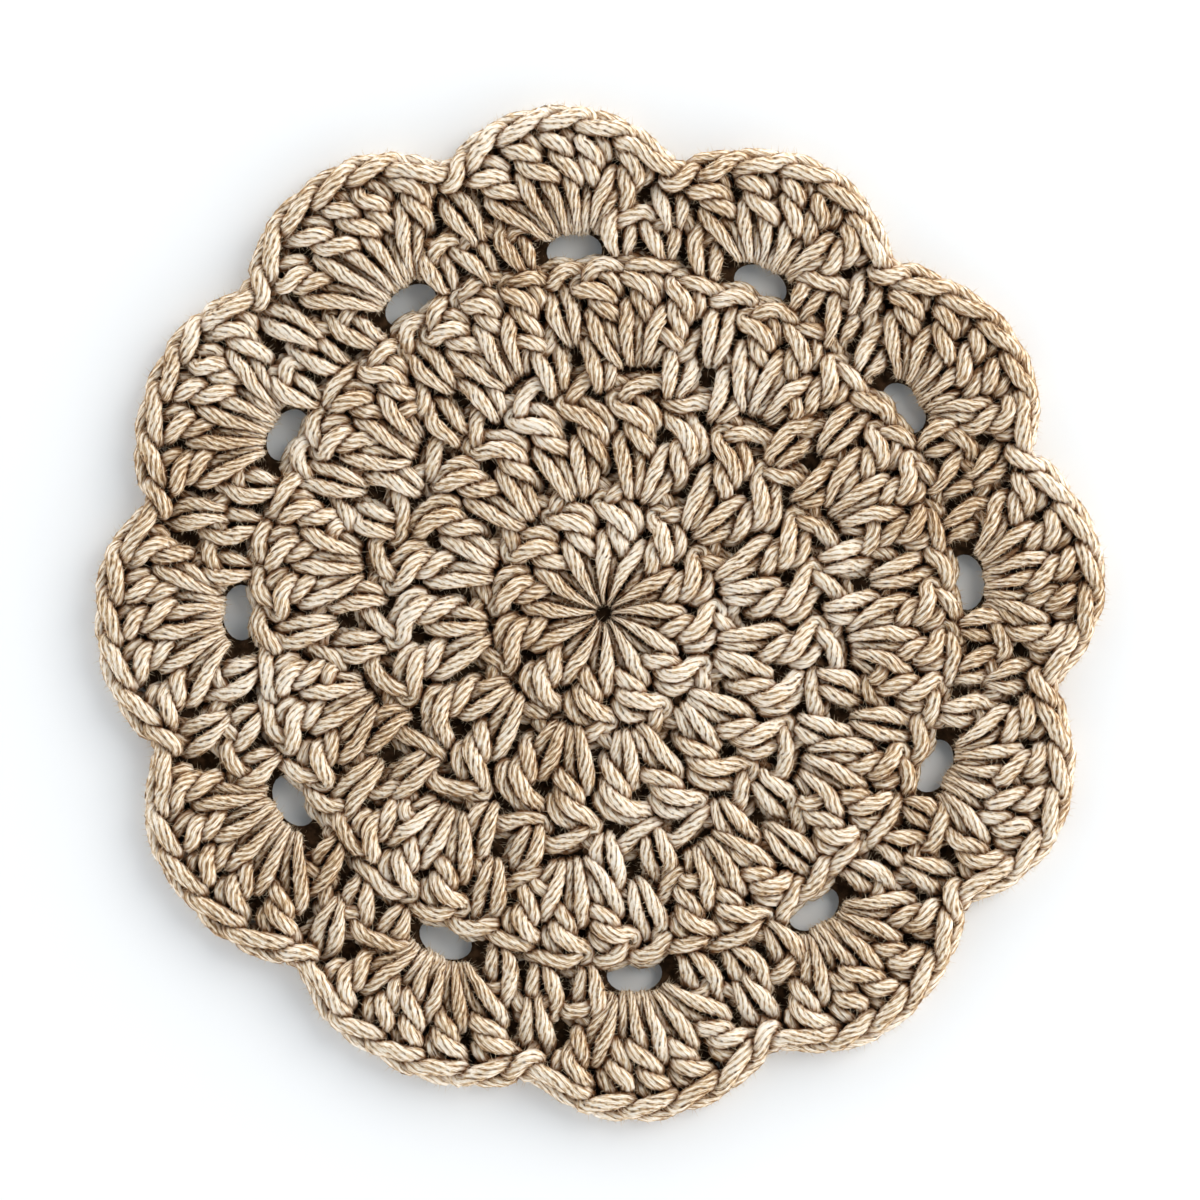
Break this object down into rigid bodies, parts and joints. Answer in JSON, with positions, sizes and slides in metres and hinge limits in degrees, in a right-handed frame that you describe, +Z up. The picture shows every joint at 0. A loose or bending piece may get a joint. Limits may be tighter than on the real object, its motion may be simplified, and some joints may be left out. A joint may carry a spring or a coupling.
{
  "type": "lace doily",
  "caption": "Round doily crocheted in thick beige cotton yarn, lying flat, with a scalloped rim of fans and an eyelet under each fan.",
  "frame": {"origin": "centre of the doily's box, on the underside that lies on the table", "axes": "+Z up out of the table through the right side of the cloth; +X and +Y in the plane of the cloth, +Y towards the fan at the top of the picture"},
  "size_m": [0.149, 0.1502, 0.005],
  "materials": {
    "cotton_yarn": "matte unbleached cotton"
  },
  "bodies": {
    "root": {"doily": "cotton_yarn"}
  },
  "joints": []
}
